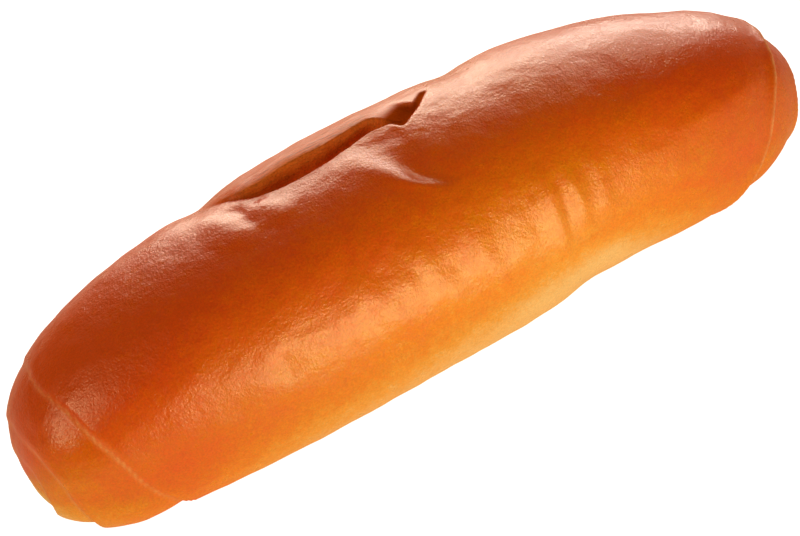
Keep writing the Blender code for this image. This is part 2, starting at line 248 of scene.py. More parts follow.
@dataclass(frozen=True)
class DoughEdges:
    """The stepped edges of the rolled dough about one tip.

    Each edge is a spiral. Outside each turn the dough has a low rounded rim, and inside it the
    next layer lies a step lower and swells up again.
    """

    end: DoughEnd
    step_height: float = 0.95 * MM
    step_width: float = 1.8 * MM
    step_recovery: float = 5.0 * MM
    rim_height: float = 0.14 * MM
    rim_width: float = 2.6 * MM
    wobble: float = 0.45 * MM
    wobble_full_edge: float = 20.0 * MM    # an edge nearer to the tip than this wobbles less
    # how many waves run round the edge, and how strong they are
    waves: tuple[Pair, ...] = ((3.0, 1.0), (7.0, 0.5))
    turns: int = 3
    begin_angle: float = -92.0         # where the first turn comes out from under the bun
    begin_spread: float = 34.0
    full_edge: float = 12.0 * MM       # an edge nearer to the tip than this is fainter
    top_share: float = 0.40            # what is left of the step where it runs over the top
    top_middle: float = 125.0          # the angle at the middle of that part
    top_reach: Pair = (45.0, 87.0)     # how far from there the step is still low, and full again
    skin_width: float = 0.55 * MM      # the pale skin on the step
    painted_sheen_lead: float = 0.0             # how far the pale skin reaches up over the rim, a painted highlight there
    skin_blend: float = 0.7            # how softly that skin starts, in skin widths

    def edge_line(self, turn: int, angle: Array) -> Array:
        """Find where one turn of the edge runs.

        Args:
            turn: Which turn, counted inwards from 0.
            angle: Angles in radians.

        Returns:
            Its arc length from the tip at each angle.
        """
        end = self.end
        sway = np.exp(end.edge_sway * np.cos(angle - math.radians(end.edge_sway_angle)))
        edge = end.edge_start * end.edge_ratio ** (np.degrees(angle) / 360.0 + turn) * sway
        waves = sum(strength * np.sin(count * angle) for count, strength in self.waves)
        return edge + self.wobble * waves * smooth(edge / self.wobble_full_edge)

    def read(self, arc: Array, angle: Array) -> tuple[Array, Array]:
        """Read the edges' relief.

        Args:
            arc: Arc lengths from this tip.
            angle: Angles in radians.

        Returns:
            The height to add, and how much of the pale skin shows; where it reaches over the rim it is a
            painted highlight.
        """
        degrees = np.degrees(angle)
        low, full = self.top_reach
        fade = smooth((full - np.abs(degrees - self.top_middle)) / (full - low)) * (1.0 - self.top_share)
        height, skin_and_sheen = np.zeros_like(arc), np.zeros_like(arc)
        for turn in range(self.turns):
            edge = self.edge_line(turn, angle)
            inside = edge - arc
            recovery = np.exp(-np.maximum(inside, 0.0) / self.step_recovery)
            drop = smooth(inside / self.step_width + 0.5) * recovery
            rim = np.exp(-(np.minimum(inside, 0.0) / self.rim_width) ** 2)
            rim = rim * smooth(0.5 - inside / self.step_width)
            begin = smooth((degrees - self.begin_angle) / self.begin_spread) if turn == 0 else 1.0
            size = begin * smooth(edge / self.full_edge) * (1.0 - fade)
            height += size * (self.rim_height * rim - self.step_height * drop)
            # pale skin; where the lead carries it up over the rim it is a painted highlight
            past = (inside + self.painted_sheen_lead) / self.skin_width
            skin_and_sheen += size * smooth(past / self.skin_blend + 0.5) * np.exp(-np.maximum(past, 0.0) ** 2)
        return height, np.clip(skin_and_sheen, 0.0, 1.0)


LEFT_EDGES = DoughEdges(LEFT)
# the right end's pale skin runs up over the rim as a painted highlight
RIGHT_EDGES = DoughEdges(
    RIGHT, step_height=0.8 * MM, step_width=1.9 * MM, rim_height=0.65 * MM, rim_width=2.2 * MM,
    top_share=0.9, skin_width=1.3 * MM, painted_sheen_lead=1.2 * MM)


@dataclass(frozen=True)
class Fold:
    """A raised fold, or with a negative height a crease, from one point to another.

    A point is a place along X in metres and an angle in degrees. The two widths are the spread
    towards -X and towards +X.
    """

    start: Pair
    finish: Pair
    left_width: float
    right_width: float
    height: float
    taper: float = 0.35                # how much of its length each end takes to fall away
    painted_shade: float = 0.0                 # how much painted shade fills the middle of a crease
    painted_shade_gain: float = 2.2            # how fast it darkens towards the middle
    end_lead: float = 0.4              # how far it runs past its two points, in tapers

    def shape(self, x: Array, angle: Array, girth_radius: float) -> Array:
        """Read the fold's profile.

        Args:
            x: Places along the bun.
            angle: Angles in radians.
            girth_radius: The radius that turns angles into lengths.

        Returns:
            1 along its middle, falling softly to 0 beside it and at its two ends.
        """
        start = np.array([self.start[0], girth_radius * math.radians(self.start[1])])
        line = np.array([self.finish[0], girth_radius * math.radians(self.finish[1])]) - start
        length = np.linalg.norm(line)
        line = line / length
        across = x - start[0]
        around = girth_radius * angle - start[1]
        along = (across * line[0] + around * line[1]) / length
        aside = (line[1] * across - line[0] * around) * np.sign(line[1])
        width = np.where(aside < 0.0, self.left_width, self.right_width)
        ends = smooth(along / self.taper + self.end_lead)
        ends = ends * smooth((1.0 - along) / self.taper + self.end_lead)
        return ends * np.exp(-(aside / width) ** 2)


@dataclass(frozen=True)
class Swell:
    """A broad swelling or hollow about a place along X and an angle in degrees."""

    place: float
    angle: float
    reach: float
    spread: float
    height: float

    def read(self, x: Array, degrees: Array) -> Array:
        """Read the height that the swelling adds.

        Args:
            x: Places along the bun.
            degrees: Angles in degrees.

        Returns:
            The heights.
        """
        away = ((x - self.place) / self.reach) ** 2 + ((degrees - self.angle) / self.spread) ** 2
        return self.height * np.exp(-away)


@dataclass(frozen=True)
class Valley:
    """The valley that runs down the near side from the cleft. The fold on its left is a hook."""

    # each of these at angles in degrees
    line: tuple[Pair, ...] = (
        (54.0, 5.2 * MM), (58.0, 3.6 * MM), (61.0, 2.5 * MM), (66.0, 1.5 * MM), (72.0, 0.8 * MM),
        (79.0, 0.2 * MM), (87.0, 0.0), (97.0, 0.3 * MM))
    depth: tuple[Pair, ...] = (
        (52.0, 0.0), (57.0, 0.4 * MM), (62.0, 0.95 * MM), (70.0, 1.15 * MM), (82.0, 1.15 * MM),
        (90.0, 0.8 * MM), (95.0, 0.25 * MM), (99.0, 0.0))
    left_width: tuple[Pair, ...] = (
        (58.0, 1.4 * MM), (65.0, 2.3 * MM), (73.0, 3.1 * MM), (90.0, 4.6 * MM))
    right_width: tuple[Pair, ...] = ((58.0, 2.6 * MM), (70.0, 3.6 * MM), (90.0, 5.0 * MM))
    crest_height: float = 0.35 * MM    # the fold's crest, as a rise above the skin
    crest_place: float = 1.5           # how far to the left it lies, in left widths

    def read(self, x: Array, degrees: Array) -> Array:
        """Read the valley's relief.

        Args:
            x: Places along the bun.
            degrees: Angles in degrees.

        Returns:
            The height to add.
        """
        depth = curve_through(self.depth, degrees)
        left, right = curve_through(self.left_width, degrees), curve_through(self.right_width, degrees)
        aside = x - curve_through(self.line, degrees)
        aside = aside / np.where(aside < 0.0, left, right)
        crest = self.crest_height * np.exp(-(aside + self.crest_place) ** 2)
        share = depth / max(value for _, value in self.depth)
        return share * crest - depth * np.exp(-aside ** 2)


@dataclass(frozen=True)
class Cleft:
    """The gap that opened in the top, between a low front lip and a raised back lip."""

    # the angle in degrees of each lip's edge, at places along X in metres
    front_edge: tuple[Pair, ...] = (
        (-31.5 * MM, 122.0), (-27.7 * MM, 107.6), (-25.0 * MM, 101.5), (-21.1 * MM, 96.8),
        (-16.5 * MM, 94.9), (-10.0 * MM, 95.2), (-5.7 * MM, 97.2), (1.2 * MM, 99.9), (5.4 * MM, 97.8))
    back_edge: tuple[Pair, ...] = (
        (-31.5 * MM, 122.5), (-27.7 * MM, 108.2), (-25.4 * MM, 104.6), (-22.5 * MM, 103.2),
        (-16.0 * MM, 103.8), (-9.0 * MM, 102.6), (-3.1 * MM, 104.6), (1.2 * MM, 105.4),
        (3.0 * MM, 102.9), (4.3 * MM, 100.0), (5.4 * MM, 97.6))
    depth: float = 3.6 * MM
    wall: float = 0.6 * MM
    full_gap: float = 1.6 * MM         # the gap's width from which it has its full depth
    front_lip_dip: float = 0.50 * MM   # how far the front lip rolls down into the cleft
    front_lip_width: float = 4.0 * MM
    # the height of the back lip, at places along X
    lip_line: tuple[Pair, ...] = (
        (-34.0 * MM, 0.0), (-30.0 * MM, 0.15 * MM), (-27.9 * MM, 0.40 * MM), (-25.0 * MM, 0.80 * MM),
        (-21.0 * MM, 1.0 * MM), (-8.0 * MM, 1.0 * MM), (-2.0 * MM, 0.92 * MM), (1.5 * MM, 0.70 * MM),
        (4.2 * MM, 0.32 * MM), (6.5 * MM, 0.08 * MM), (10.0 * MM, 0.0))
    lip_width: float = 3.4 * MM
    lip_shelf: float = 1.2 * MM        # the back lip's top is level this far back
    lip_round: float = 0.9 * MM
    lip_lean: float = 0.8              # how far it leans forward, as a share of its height
    lean_width: float = 2.0 * MM
    # how softly the wall's colour fades over the back lip, at places along X
    lip_fade: tuple[Pair, ...] = (
        (-31.5 * MM, 2.6 * MM), (-12.0 * MM, 2.6 * MM), (-7.0 * MM, 1.6 * MM), (0.0, 1.6 * MM),
        (5.4 * MM, 1.2 * MM))
    shade_lead: float = 0.8            # that colour starts this far ahead of the front edge, in walls
    shade_end: float = 0.6             # and ends this far behind the back edge, in its own fades
    lines_width: float = 3.5 * MM      # the fine lines reach this far back
    ragged: float = 0.22 * MM          # how unevenly the back lip tore
    ragged_size: float = 2.6 * MM
    ragged_seed: float = 5.0

    def read(self, x: Array, degrees: Array,
             girth_radius: float) -> tuple[Array, Array, dict[Mask, Array]]:
        """Read the cleft's relief.

        Args:
            x: Places along the bun.
            degrees: Angles in degrees.
            girth_radius: The radius that turns angles into lengths.

        Returns:
            The height to add, the forward lean, and the masks of its skin.
        """
        unit = girth_radius * math.radians(1.0)
        front, back = curve_through(self.front_edge, x), curve_through(self.back_edge, x)
        gap = np.maximum((back - front) * unit, 0.0)
        gap = gap * ((x > self.front_edge[0][0]) & (x < self.front_edge[-1][0]))
        past_front, past_back = (degrees - front) * unit, (degrees - back) * unit
        line = np.stack([x, np.zeros_like(x), np.zeros_like(x)], axis=1)
        past_back = past_back + self.ragged * wander(line, self.ragged_size, self.ragged_seed)
        inside = smooth(past_front / self.wall + 0.5) * smooth(0.5 - past_back / self.wall)
        openness = smooth(gap / self.full_gap)
        size = curve_through(self.lip_line, x)
        lip = np.exp(-(np.maximum(past_back - self.lip_shelf, 0.0) / self.lip_width) ** 2)
        lip = lip * smooth(past_back / self.lip_round + 0.5)
        near = np.exp(-(np.minimum(past_front, 0.0) / self.front_lip_width) ** 2) * (past_back < 0.0)
        height = size * lip - self.depth * openness * inside - self.front_lip_dip * openness * near
        lean = self.lip_lean * size * lip * np.exp(-(np.maximum(past_back, 0.0) / self.lean_width) ** 2)
        return height, lean, self._masks(x, past_front, past_back, openness)

    def _masks(self, x: Array, past_front: Array, past_back: Array,
               openness: Array) -> dict[Mask, Array]:
        """Work out where the torn wall and the fine lines show.

        Args:
            x: Places along the bun.
            past_front: How far each point lies behind the front edge.
            past_back: How far it lies behind the back edge.
            openness: How open the cleft is there, from 0 to 1.

        Returns:
            The masks, with the creases' mask still empty.
        """
        soft = curve_through(self.lip_fade, x)
        shade = smooth(past_front / self.wall + self.shade_lead) * smooth(self.shade_end - past_back / soft)
        lines = np.exp(-(np.maximum(past_back, 0.0) / self.lines_width) ** 2)
        lines = smooth(past_front / self.wall) * lines
        lines = lines * curve_through(self.lip_line, x) / max(height for _, height in self.lip_line)
        return {Mask.FOLD_SHADE: np.zeros_like(x), Mask.WALL: shade * openness, Mask.LIP: lines}


FOLDS = (
    # the mounds at the cleft's left end, with a hollow between them
    Fold((-33.2 * MM, 108.0), (-31.2 * MM, 76.0), 3.0 * MM, 2.8 * MM, 0.42 * MM),
    Fold((-28.4 * MM, 99.0), (-27.4 * MM, 81.0), 1.6 * MM, 1.6 * MM, -0.28 * MM),
    Fold((-24.6 * MM, 93.0), (-21.8 * MM, 76.0), 2.2 * MM, 2.8 * MM, 0.34 * MM),
    # the dimple that carries the cleft on to the right, and the short crease at its end, both with painted
    # shade
    Fold((5.2 * MM, 93.4), (9.9 * MM, 100.9), 3.2 * MM, 0.7 * MM, -1.35 * MM, 0.3, 1.0),
    Fold((9.9 * MM, 99.3), (13.6 * MM, 108.4), 0.7 * MM, 0.45 * MM, -0.5 * MM, 0.3, 1.0),
    # wrinkles down the near side
    Fold((20.6 * MM, 40.0), (19.2 * MM, -8.0), 2.3 * MM, 0.8 * MM, 0.54 * MM),
    Fold((24.8 * MM, 38.0), (23.8 * MM, -8.0), 2.0 * MM, 1.2 * MM, 0.34 * MM),
    Fold((30.6 * MM, 36.0), (29.6 * MM, 10.0), 1.8 * MM, 0.9 * MM, 0.16 * MM),
    Fold((4.4 * MM, 31.0), (6.2 * MM, -4.0), 1.6 * MM, 2.2 * MM, 0.35 * MM),
    Fold((-7.4 * MM, 39.0), (-1.8 * MM, 1.0), 2.0 * MM, 2.4 * MM, 0.3 * MM),
    Fold((-19.2 * MM, 38.0), (-11.9 * MM, 7.0), 2.2 * MM, 2.6 * MM, 0.3 * MM),
    Fold((-36.2 * MM, 26.0), (-34.8 * MM, 12.0), 2.0 * MM, 2.0 * MM, -0.35 * MM),
    # a low straight fold near the right end
    Fold((46.0 * MM, 28.0), (68.0 * MM, 37.0), 2.2 * MM, 2.2 * MM, 0.25 * MM),
)

SWELLS = (
    # broad swellings and hollows of the back, the underside and the two ends
    Swell(-31.5 * MM, 128.0, 4.5 * MM, 26.0, -1.1 * MM),
    Swell(-8.0 * MM, 126.0, 15.0 * MM, 22.0, 0.75 * MM),
    Swell(21.0 * MM, 125.0, 4.0 * MM, 30.0, -0.6 * MM),
    Swell(34.0 * MM, 130.0, 9.0 * MM, 30.0, 0.5 * MM),
    Swell(63.0 * MM, 130.0, 6.0 * MM, 30.0, -0.65 * MM),
    Swell(32.9 * MM, -35.0, 13.0 * MM, 35.0, -1.6 * MM),
    Swell(24.3 * MM, -48.0, 5.0 * MM, 22.0, -0.55 * MM),
    Swell(-68.8 * MM, -46.0, 7.0 * MM, 26.0, 1.1 * MM),
    Swell(-78.2 * MM, -15.0, 4.5 * MM, 50.0, 0.4 * MM),
    Swell(64.6 * MM, -45.0, 7.0 * MM, 28.0, 0.6 * MM),
    # low mounds on the near side that the light picks out
    Swell(-40.8 * MM, 15.0, 2.6 * MM, 8.0, 0.22 * MM),
    Swell(-35.4 * MM, 29.0, 2.4 * MM, 8.0, 0.19 * MM),
    Swell(-28.6 * MM, 24.0, 2.2 * MM, 7.0, 0.13 * MM),
    Swell(-20.2 * MM, 27.0, 2.6 * MM, 7.0, 0.13 * MM),
    Swell(-10.4 * MM, 23.0, 2.2 * MM, 7.0, 0.19 * MM),
    Swell(-6.0 * MM, 14.0, 2.4 * MM, 6.0, 0.13 * MM),
    Swell(-1.4 * MM, 29.0, 2.0 * MM, 6.0, 0.19 * MM),
    Swell(2.5 * MM, 17.0, 2.0 * MM, 9.0, 0.22 * MM),
    Swell(11.0 * MM, 14.0, 2.2 * MM, 9.0, 0.22 * MM),
    Swell(24.9 * MM, 22.0, 1.8 * MM, 10.0, 0.26 * MM),
    Swell(29.4 * MM, 15.0, 2.0 * MM, 8.0, 0.16 * MM),
)


# --------------------------------------------------------------------------------------------
# Shader values and nodes
# --------------------------------------------------------------------------------------------

class Value:
    """A shader value: an expression on it adds its Math nodes."""

    def __init__(self, graph: "Graph", socket: bpy.types.NodeSocket) -> None:
        """Wrap a socket.

        Args:
            graph: The graph that the socket belongs to.
            socket: The output socket.
        """
        self.graph = graph
        self.socket = socket

    def _math(self, operation: str, first: "Term", second: "Term", clamp: bool = False) -> "Value":
        """Add one Math node.

        Args:
            operation: The node's operation.
            first: Its first value.
            second: Its second value.
            clamp: Whether its result stays between 0 and 1.

        Returns:
            The node's result.
        """
        settings = {"operation": operation, "use_clamp": clamp}
        return self.graph.node("ShaderNodeMath", settings, {0: first, 1: second})

    def __add__(self, other: "Term") -> "Value":
        """Add."""
        return self._math("ADD", self, other)

    def __radd__(self, other: "Term") -> "Value":
        """Add, with the value on the right."""
        return self._math("ADD", other, self)

    def __sub__(self, other: "Term") -> "Value":
        """Subtract."""
        return self._math("SUBTRACT", self, other)

    def __rsub__(self, other: "Term") -> "Value":
        """Subtract, with the value on the right."""
        return self._math("SUBTRACT", other, self)

    def __mul__(self, other: "Term") -> "Value":
        """Multiply."""
        return self._math("MULTIPLY", self, other)

    def __rmul__(self, other: "Term") -> "Value":
        """Multiply, with the value on the right."""
        return self._math("MULTIPLY", other, self)

    def clamped(self) -> "Value":
        """Return the value held between 0 and 1."""
        return self._math("ADD", self, 0.0, clamp=True)


Term = Union[Value, float, int]
Input = Union[Value, float, int, tuple]


class Graph:
    """The nodes of one material."""

    def __init__(self, name: str) -> None:
        """Start a material with its Principled shader.

        Args:
            name: The material's name.
        """
        self.material = bpy.data.materials.new(name)
        self.material.use_nodes = True
        self.tree = self.material.node_tree
        self.shader = self.tree.nodes["Principled BSDF"]

    def node(self, kind: str, settings: dict[str, Any], inputs: dict[Union[str, int], Input],
             output: Union[str, int] = 0) -> Value:
        """Add a node.

        Args:
            kind: The node's type.
            settings: Its properties, set first. Stops are a ramp's places and colours.
            inputs: The values or links of its sockets, by name or index.
            output: The output socket wanted, by name or index.

        Returns:
            That output.
        """
        item = self.tree.nodes.new(kind)
        for name, value in settings.items():
            if name == "stops":
                self._set_stops(item, value)
            else:
                setattr(item, name, value)
        for key, value in inputs.items():
            self.feed(item.inputs[key], value)
        return Value(self, item.outputs[output])

    @staticmethod
    def _set_stops(item: bpy.types.Node, stops: tuple[tuple[float, Colour], ...]) -> None:
        """Give a colour ramp its stops.

        Args:
            item: The ramp's node.
            stops: Each stop's place and colour.
        """
        elements = item.color_ramp.elements
        while len(elements) < len(stops):
            elements.new(1.0)
        for element, (place, colour) in zip(elements, stops):
            element.position = place
            element.color = colour

    def feed_shader(self, values: dict[str, Input]) -> None:
        """Link or set inputs of the Principled shader.

        Args:
            values: The value of each socket, by the socket's name.
        """
        for name, value in values.items():
            self.feed(self.shader.inputs[name], value)

    def feed(self, socket: bpy.types.NodeSocket, value: Input) -> None:
        """Link or set an input socket.

        Args:
            socket: The input socket.
            value: A shader value to link, or a plain value to set.
        """
        if isinstance(value, Value):
            self.tree.links.new(value.socket, socket)
        else:
            socket.default_value = value

    def places(self) -> Value:
        """Return the object coordinates."""
        return self.node("ShaderNodeTexCoord", {}, {}, "Object")

    def attribute(self, mask: Mask) -> Value:
        """Return one of the crust's masks."""
        return self.node("ShaderNodeAttribute", {"attribute_name": mask.value}, {}, "Fac")

    def noise(self, places: Value, size: float, detail: float = 2.0, rough: float = 0.5) -> Value:
        """Add an even noise.

        Args:
            places: The coordinates to read.
            size: The size of its patches, in metres.
            detail: How many finer layers it has.
            rough: How strong the finer layers are.

        Returns:
            Its value, about 0.5 on average.
        """
        inputs = {"Vector": places, "Scale": 1.0 / size, "Detail": detail, "Roughness": rough}
        return self.node("ShaderNodeTexNoise", {"noise_dimensions": "3D"}, inputs, "Fac")

    def blend(self, share: Input, first: Input, second: Input, mode: str = "MIX") -> Value:
        """Mix two colours.

        Args:
            share: How much of the second colour.
            first: The first colour.
            second: The second colour.
            mode: How they mix.

        Returns:
            The mixed colour.
        """
        settings = {"data_type": "RGBA", "blend_type": mode, "clamp_result": False}
        return self.node("ShaderNodeMix", settings, {0: share, 6: first, 7: second}, 2)


# --------------------------------------------------------------------------------------------
# Finishes
# --------------------------------------------------------------------------------------------

def srgb(red: int, green: int, blue: int) -> Colour:
    """Turn a colour of 0 to 255 a channel into a shader's colour.

    Args:
        red: The red channel.
        green: The green channel.
        blue: The blue channel.

    Returns:
        The colour with full alpha.
    """
    shares = [channel / 255.0 for channel in (red, green, blue)]
    linear = [s / 12.92 if s <= 0.04045 else ((s + 0.055) / 1.055) ** 2.4 for s in shares]
    return (linear[0], linear[1], linear[2], 1.0)


WHITE: Colour = (1.0, 1.0, 1.0, 1.0)


@dataclass(frozen=True)
class CrustPattern:
    """The noises and masks that the crust's material is made from."""

    places: Value
    blotch: Value
    mottle: Value
    fleck: Value
    grain: Value
    streaks: Value                     # the fine lines of the cleft's back lip, about 0
    masks: dict[Mask, Value]

    def of(self, *masks: Mask) -> tuple[Value, ...]:
        """Return some of the masks, in the order asked for."""
        return tuple(self.masks[mask] for mask in masks)


@dataclass(frozen=True)
class BakedCrust:
    """The glazed crust: colours of the bake from pale to dark, with mottling, pores and sheen, and painted
    shade and highlight.
    """

    stops: tuple[tuple[float, Colour], ...] = (
        (0.00, srgb(246, 194, 116)),
        (0.15, srgb(243, 160, 48)),
        (0.30, srgb(242, 135, 8)),
        (0.50, srgb(240, 112, 2)),
        (0.75, srgb(242, 95, 2)),
        (1.00, srgb(236, 76, 1)),
    )
    # pale skin, also the colour of the painted highlight on the right end's rim and the back lip
    pale_skin_and_sheen_colour: Colour = srgb(250, 170, 88)
    # painted shade in the creases, and the colour of the dark fine lines on the back lip
    shade_and_line_colour: Colour = srgb(158, 58, 6)
    wall_colour: Colour = srgb(250, 138, 50)
    # the sizes of the uneven patches, and how far each kind lightens and darkens the bake
    blotch_size: float = 9.0 * MM
    blotch_share: float = 0.20
    mottle_size: float = 2.0 * MM
    mottle_share: float = 0.20
    fleck_size: float = 0.50 * MM
    fleck_share: float = 0.20
    grain_size: float = 0.36 * MM
    grain_share: float = 0.22          # how far the finest grain lightens and darkens the skin
    pale_share: float = 0.25           # how much of the unevenness the palest skin has
    pale_gain: float = 1.8             # how fast the rest of it comes in as the skin browns
    # the pale skin and its painted highlight break up where the mottle and the flecks are low
    skin_mottle: float = 2.0
    skin_fleck: float = 1.6
    skin_break: float = 1.1
    skin_share: float = 0.9
    crease_shade_share: float = 0.85
    # how dark the fine lines are on average, how sharply they darken, and their most
    streak_level: float = 0.3
    streak_gain: float = 5.0
    streak_share: float = 0.6
    # how far the torn wall's colour shows, and what the grain and the flecks add to that
    wall_share: float = 0.2
    wall_grain: float = 1.2
    wall_fleck: float = 0.4
    roughness: float = 0.30
    roughness_share: float = 0.14      # how uneven that is
    torn_roughness: float = 0.45       # how much rougher the creases and the torn wall are
    lip_roughness: float = 0.2         # and the back lip
    skin_roughness: float = 0.15       # and the pale skin with its painted highlight
    coat: float = 0.02                 # the glaze on the pale skin
    glaze: float = 0.05                # how much more of it the brown skin has
    brown_start: float = 0.45          # the bake from which that comes in
    brown_gain: float = 2.5            # and how fast
    coat_roughness: float = 0.30
    specular: float = 1.0
    gloss_colour: Colour = (1.0, 0.80, 0.44, 1.0)    # the colour of the weak sheen under the glaze
    matte_roughness: float = 0.9       # of torn skin, which has no sheen
    lip_matte: float = 0.35            # how much of the back lip's skin is torn
    peel_size: float = 0.45 * MM
    peel_depth: float = 0.08 * MM
    ripple_size: float = 2.8 * MM
    ripple_depth: float = 0.20 * MM
    line_spacing: float = 0.5 * MM     # the fine lines along the cleft's back lip
    line_length: float = 3.0 * MM
    line_depth: float = 0.25 * MM

    def build(self) -> bpy.types.Material:
        """Build the crust's material and return it."""
        graph = Graph("baked_crust")
        pattern = self._pattern(graph)
        colour, normal = self._colour(graph, pattern), self._relief(graph, pattern)
        fold, wall, lip, bake = pattern.of(Mask.FOLD_SHADE, Mask.WALL, Mask.LIP, Mask.BAKE)
        brown = ((bake - self.brown_start) * self.brown_gain).clamped()
        graph.feed_shader({
            "Base Color": colour,
            "Roughness": self._roughness(pattern),
            "Coat Weight": (1.0 - fold) * (1.0 - wall) * (brown * self.glaze + self.coat),
            "Coat Roughness": self.coat_roughness,
            "Specular IOR Level": self.specular,
            "Specular Tint": self.gloss_colour,
            "Normal": normal,
        })
        inputs = {"Base Color": colour, "Roughness": self.matte_roughness, "Specular IOR Level": 0.0,
                  "Normal": normal}
        matte = graph.node("ShaderNodeBsdfPrincipled", {}, inputs, "BSDF")
        glossy = Value(graph, graph.shader.outputs["BSDF"])
        torn = (fold + wall + lip * self.lip_matte).clamped()
        mixed = graph.node("ShaderNodeMixShader", {}, {0: torn, 1: glossy, 2: matte})
        graph.feed(graph.tree.nodes["Material Output"].inputs["Surface"], mixed)
        return graph.material

    def _pattern(self, graph: Graph) -> CrustPattern:
        """Read the noises and masks.

        Args:
            graph: The crust's nodes.

        Returns:
            Their values.
        """
        places = graph.places()
        squeeze = self.line_length / self.line_spacing
        along = graph.node("ShaderNodeMapping", {}, {"Vector": places, "Scale": (1.0, squeeze, squeeze)})
        return CrustPattern(
            places=places,
            blotch=graph.noise(places, self.blotch_size, 3.0),
            mottle=graph.noise(places, self.mottle_size, 3.0),
            fleck=graph.noise(places, self.fleck_size, 2.0),
            grain=graph.noise(places, self.grain_size, 2.0),
            streaks=graph.noise(along, self.line_length, 2.0) - 0.5,
            masks={mask: graph.attribute(mask) for mask in Mask},
        )

    def _colour(self, graph: Graph, pattern: CrustPattern) -> Value:
        """Work out the crust's colour.

        Args:
            graph: The crust's nodes.
            pattern: The noises and masks.

        Returns:
            The colour.
        """
        bake, stretch_and_sheen = pattern.of(Mask.BAKE, Mask.STRETCH)
        fold, wall, lip = pattern.of(Mask.FOLD_SHADE, Mask.WALL, Mask.LIP)
        mottle, fleck, grain = pattern.mottle, pattern.fleck, pattern.grain
        uneven = (pattern.blotch - 0.5) * (2.0 * self.blotch_share)
        uneven = uneven + (mottle - 0.5) * (2.0 * self.mottle_share)
        uneven = uneven + (fleck - 0.5) * (2.0 * self.fleck_share)
        full = self.pale_share + (bake * self.pale_gain).clamped() * (1.0 - self.pale_share)
        level = (bake + uneven * full).clamped()
        colour = graph.node("ShaderNodeValToRGB", {"stops": self.stops}, {"Fac": level}, "Color")
        # pale skin, and painted highlight on the right end's rim and the cleft's back lip
        skin_and_sheen = stretch_and_sheen * (mottle * self.skin_mottle + fleck * self.skin_fleck - self.skin_break)
        colour = graph.blend(skin_and_sheen.clamped() * self.skin_share, colour, self.pale_skin_and_sheen_colour)
        # painted shade in the dimple and the crease
        colour = graph.blend((fold * self.crease_shade_share).clamped(), colour, self.shade_and_line_colour)
        streak = (pattern.streaks * self.streak_gain + self.streak_level).clamped()
        colour = graph.blend(streak * lip * self.streak_share, colour, self.shade_and_line_colour)
        torn = wall * (self.wall_share + grain * self.wall_grain + fleck * self.wall_fleck)
        colour = graph.blend(torn.clamped(), colour, self.wall_colour)
        shade = 1.0 + (grain - 0.5) * (2.0 * self.grain_share)
        shade = graph.node("ShaderNodeCombineColor", {}, {0: shade, 1: shade, 2: shade}, "Color")
        return graph.blend(1.0, colour, shade, "MULTIPLY")

    def _roughness(self, pattern: CrustPattern) -> Value:
        """Work out how rough the crust is.

        Args:
            pattern: The noises and masks.

        Returns:
            The roughness.
        """
        fold, wall, lip, stretch_and_sheen = pattern.of(Mask.FOLD_SHADE, Mask.WALL, Mask.LIP, Mask.STRETCH)
        rough = self.roughness + (pattern.mottle + pattern.blotch - 1.0) * self.roughness_share
        rough = rough + (fold + wall) * self.torn_roughness + lip * self.lip_roughness
        return (rough + stretch_and_sheen * self.skin_roughness).clamped()

    def _relief(self, graph: Graph, pattern: CrustPattern) -> Value:
        """Add the ripple of the skin, the fine lines of the lip and the peel of the glaze.

        Args:
            graph: The crust's nodes.
            pattern: The noises and masks.

        Returns:
            The bumped normal.
        """
        layers = (
            (self.ripple_depth, graph.noise(pattern.places, self.ripple_size, 4.0, 0.62)),
            (self.line_depth, pattern.streaks * pattern.masks[Mask.LIP]),
            (self.peel_depth, graph.noise(pattern.places, self.peel_size, 2.0, 0.6)),
        )
        inputs: dict[Union[str, int], Input] = {"Strength": 1.0}
        for depth, height in layers:
            inputs.update(Distance=depth, Height=height)
            inputs["Normal"] = graph.node("ShaderNodeBump", {}, inputs, "Normal")
        return inputs["Normal"]


@dataclass(frozen=True)
class PaleTable:
    """The plain table top. The camera sees it white, and it gives the bun a warm glow."""

    colour: Colour = (0.55, 0.46, 0.34, 1.0)
    glow_colour: Colour = (1.0, 0.88, 0.66, 1.0)
    shown_colour: Colour = WHITE
    roughness: float = 0.6
    specular: float = 0.2
    glow: float = 0.92                 # what it gives to the bun
    sheen_glow: float = 0.12           # what the bun mirrors of it
    shown_glow: float = 1.1            # what the camera sees

    def build(self) -> bpy.types.Material:
        """Build the table's material and return it."""
        graph = Graph("pale_table")
        seen = graph.node("ShaderNodeLightPath", {}, {}, "Is Camera Ray")
        mirrored = graph.node("ShaderNodeLightPath", {}, {}, "Is Glossy Ray")
        glow = self.glow + seen * (self.shown_glow - self.glow)
        graph.feed_shader({
            "Base Color": self.colour,
            "Roughness": self.roughness,
            "Specular IOR Level": self.specular,
            "Emission Color": graph.blend(seen, self.glow_colour, self.shown_colour),
            "Emission Strength": glow + mirrored * (self.sheen_glow - self.glow),
        })
        return graph.material


# --------------------------------------------------------------------------------------------
# The bun
# --------------------------------------------------------------------------------------------

